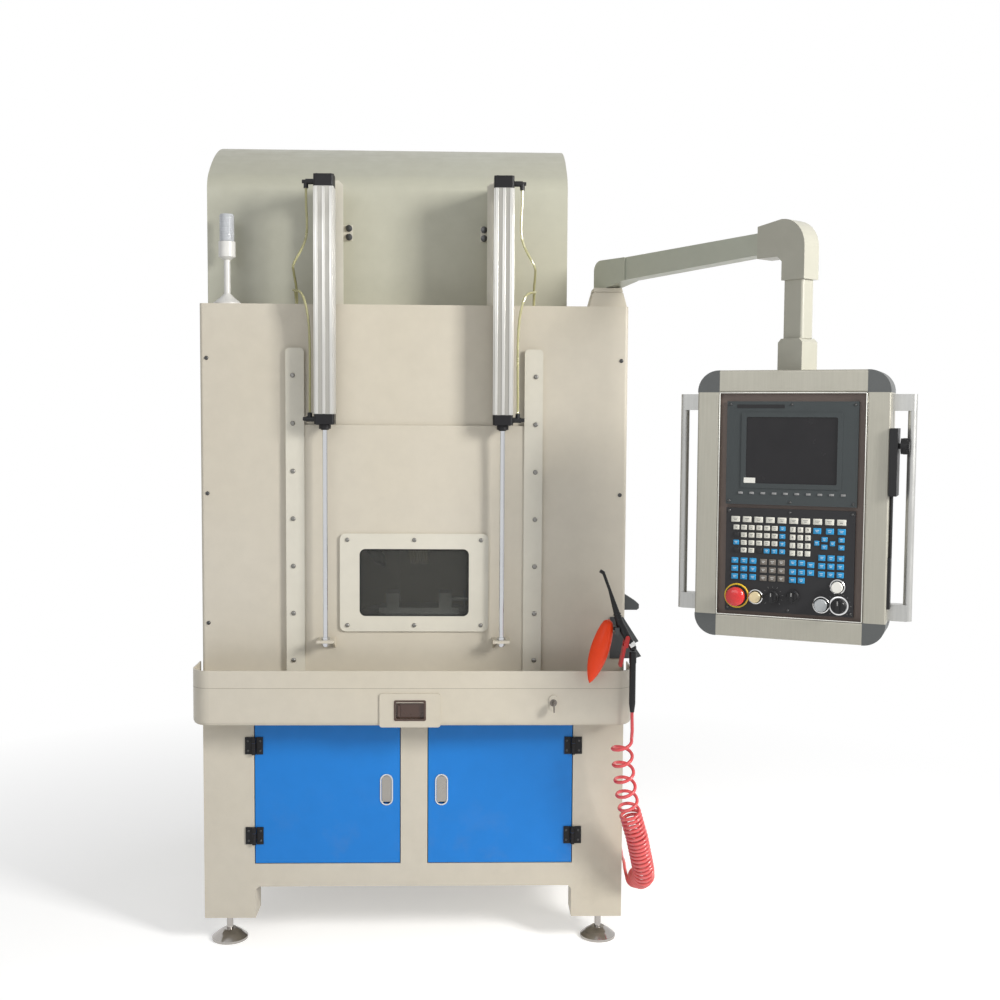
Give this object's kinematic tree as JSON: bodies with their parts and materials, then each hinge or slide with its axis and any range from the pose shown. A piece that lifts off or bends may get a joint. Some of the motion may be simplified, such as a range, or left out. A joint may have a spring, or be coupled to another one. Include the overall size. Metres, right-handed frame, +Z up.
{
  "type": "rotary polishing machine",
  "caption": "Cream sheet metal polishing machine with blue cabinet doors, a lifting front door, an operator panel on a swivel arm and an air gun on a coiled hose.",
  "frame": {"origin": "centre of the sole of the front left levelling foot, on the floor", "axes": "+X to the right seen from the front, +Y to the back, +Z up"},
  "size_m": [1.5526, 1.5014, 1.9955],
  "materials": {
    "cream_paint": "cream powder coat with a fine grain",
    "blue_paint": "blue powder coat",
    "black_paint": "black powder coat",
    "taupe_paint": "dark taupe paint",
    "plated": "zinc plated steel",
    "steel": "machined steel",
    "chrome_rod": "hard chrome",
    "anodised": "silver anodised",
    "anodised_warm": "satin anodised, slightly warm",
    "black_plastic": "fine matt texture",
    "grey_plastic": "matt dark grey",
    "key_plastic": "light grey keys",
    "white_plastic": "smooth",
    "red_plastic": "smooth red",
    "orange_plastic": "smooth orange",
    "hose_plastic": "translucent red polyurethane",
    "tube_plastic": "clear yellow-green polyurethane",
    "lens": "smoky translucent lens",
    "glass": "tinted safety glass",
    "buff": "stitched cotton plies"
  },
  "bodies": {
    "machine": {"base_frame": "cream_paint", "base_panels": "cream_paint", "leveling_feet": "plated", "control_plate": "steel", "hinge_plates": "black_paint", "enclosure": "cream_paint", "hood": "cream_paint", "tray": "cream_paint", "guide_rails": "cream_paint", "cylinder_barrels": "anodised", "cylinder_caps": "black_paint", "cylinder_brackets": "cream_paint", "speed_fittings": "black_plastic", "air_tubes": "tube_plastic", "lamp_stand": "white_plastic", "lamp_lens": "lens", "arm_pedestal": "cream_paint", "air_gun": "orange_plastic", "gun_holder": "black_paint", "hose_fittings": "black_plastic", "coiled_hose": "hose_plastic", "bed": "steel", "column": "cream_paint", "spray_arm": "black_plastic"},
    "lifting_door": {"lifting_door": "cream_paint", "window_frame": "cream_paint", "window_glass": "glass", "piston_rods": "chrome_rod"},
    "left_cabinet_door": {"left_cabinet_door": "blue_paint"},
    "right_cabinet_door": {"right_cabinet_door": "blue_paint"},
    "left_latch": {"left_latch": "plated"},
    "right_latch": {"right_latch": "plated"},
    "dust_drawer": {"dust_drawer": "cream_paint"},
    "lock_key": {"lock_key": "plated"},
    "arm": {"arm_swivel": "anodised_warm", "arm_tube": "anodised_warm", "arm_elbow": "cream_paint", "drop_tube": "cream_paint"},
    "panel": {"panel_frame": "anodised_warm", "panel_corners": "grey_plastic", "panel_housing": "taupe_paint", "display_unit": "grey_plastic", "keyboard_unit": "black_plastic", "keypad_keys": "key_plastic", "grab_handles": "anodised", "handwheel_box": "black_plastic"},
    "stop_button": {"stop_button": "red_plastic"},
    "start_button": {"start_button": "white_plastic"},
    "reset_button": {"reset_button": "white_plastic"},
    "lamp_button": {"lamp_button": "white_plastic"},
    "mode_selector": {"mode_selector": "black_plastic"},
    "feed_knob": {"feed_knob": "black_plastic"},
    "speed_knob": {"speed_knob": "black_plastic"},
    "handwheel_knob": {"handwheel_knob": "black_plastic"},
    "gun_trigger": {"gun_trigger": "red_plastic"},
    "head": {"head_carriage": "steel"},
    "spindle": {"spindle": "steel", "buffing_wheel": "buff"},
    "rotary_table": {"rotary_table": "steel", "work_vise": "steel"}
  },
  "joints": [
    {"name": "door_lift", "type": "slide", "parent": "machine", "child": "lifting_door", "axis": [0, 0, 1], "range_m": [0, 0.485]},
    {"name": "left_door_hinge", "type": "hinge", "parent": "machine", "child": "left_cabinet_door", "pos_m": [0.0705, -0.056, 0.376], "axis": [0, 0, -1], "range_deg": [0, 100]},
    {"name": "right_door_hinge", "type": "hinge", "parent": "machine", "child": "right_cabinet_door", "pos_m": [0.8455, -0.056, 0.376], "axis": [0, 0, 1], "range_deg": [0, 100]},
    {"name": "left_latch_paddle", "type": "hinge", "parent": "left_cabinet_door", "child": "left_latch", "pos_m": [0.391, -0.044, 0.41956], "axis": [-1, 0, 0], "range_deg": [0, 35]},
    {"name": "right_latch_paddle", "type": "hinge", "parent": "right_cabinet_door", "child": "right_latch", "pos_m": [0.525, -0.044, 0.41956], "axis": [-1, 0, 0], "range_deg": [0, 35]},
    {"name": "drawer_slide", "type": "slide", "parent": "machine", "child": "dust_drawer", "axis": [0, -1, 0], "range_m": [0, 0.26]},
    {"name": "key_turn", "type": "hinge", "parent": "machine", "child": "lock_key", "pos_m": [0.789, -0.15, 0.626], "axis": [0, -1, 0], "range_deg": [0, 90]},
    {"name": "arm_swivel", "type": "hinge", "parent": "machine", "child": "arm", "pos_m": [0.921, 0.01, 1.628], "axis": [0, 0, 1], "range_deg": [-45, 75]},
    {"name": "panel_swivel", "type": "hinge", "parent": "arm", "child": "panel", "pos_m": [1.27104, -0.44618, 1.374], "axis": [0, 0, 1], "range_deg": [-60, 60]},
    {"name": "stop_press", "type": "slide", "parent": "panel", "child": "stop_button", "axis": [0.4067, 0.9135, 0], "range_m": [0, 0.004], "stiffness_N_per_m": 800},
    {"name": "start_press", "type": "slide", "parent": "panel", "child": "start_button", "axis": [0.4067, 0.9135, 0], "range_m": [0, 0.003], "stiffness_N_per_m": 400},
    {"name": "reset_press", "type": "slide", "parent": "panel", "child": "reset_button", "axis": [0.4067, 0.9135, 0], "range_m": [0, 0.003], "stiffness_N_per_m": 400},
    {"name": "lamp_press", "type": "slide", "parent": "panel", "child": "lamp_button", "axis": [0.4067, 0.9135, 0], "range_m": [0, 0.003], "stiffness_N_per_m": 400},
    {"name": "mode_turn", "type": "hinge", "parent": "panel", "child": "mode_selector", "pos_m": [1.25821, -0.49958, 0.929], "axis": [-0.4067, -0.9135, 0], "range_deg": [-45, 45]},
    {"name": "feed_turn", "type": "hinge", "parent": "panel", "child": "feed_knob", "pos_m": [1.21984, -0.48249, 0.926], "axis": [-0.4067, -0.9135, 0], "range_deg": [-135, 135]},
    {"name": "speed_turn", "type": "hinge", "parent": "panel", "child": "speed_knob", "pos_m": [1.34317, -0.5374, 0.915], "axis": [-0.4067, -0.9135, 0], "range_deg": [-135, 135]},
    {"name": "handwheel_turn", "type": "hinge", "parent": "panel", "child": "handwheel_knob", "pos_m": [1.44956, -0.56397, 1.243], "axis": [0.9135, -0.4067, 0], "continuous": true},
    {"name": "trigger_squeeze", "type": "hinge", "parent": "machine", "child": "gun_trigger", "pos_m": [0.958, -0.1733, 0.786], "axis": [0, 1, 0], "range_deg": [0, 10], "stiffness_Nm_per_rad": 0.6},
    {"name": "head_slide", "type": "slide", "parent": "machine", "child": "head", "axis": [0, 0, 1], "range_m": [-0.05, 0.2]},
    {"name": "spindle_spin", "type": "hinge", "parent": "head", "child": "spindle", "pos_m": [0.458, 0.3, 1.0404], "axis": [1, 0, 0], "continuous": true},
    {"name": "table_turn", "type": "hinge", "parent": "machine", "child": "rotary_table", "pos_m": [0.458, 0.3, 0.7124], "axis": [0, 0, 1], "continuous": true}
  ]
}
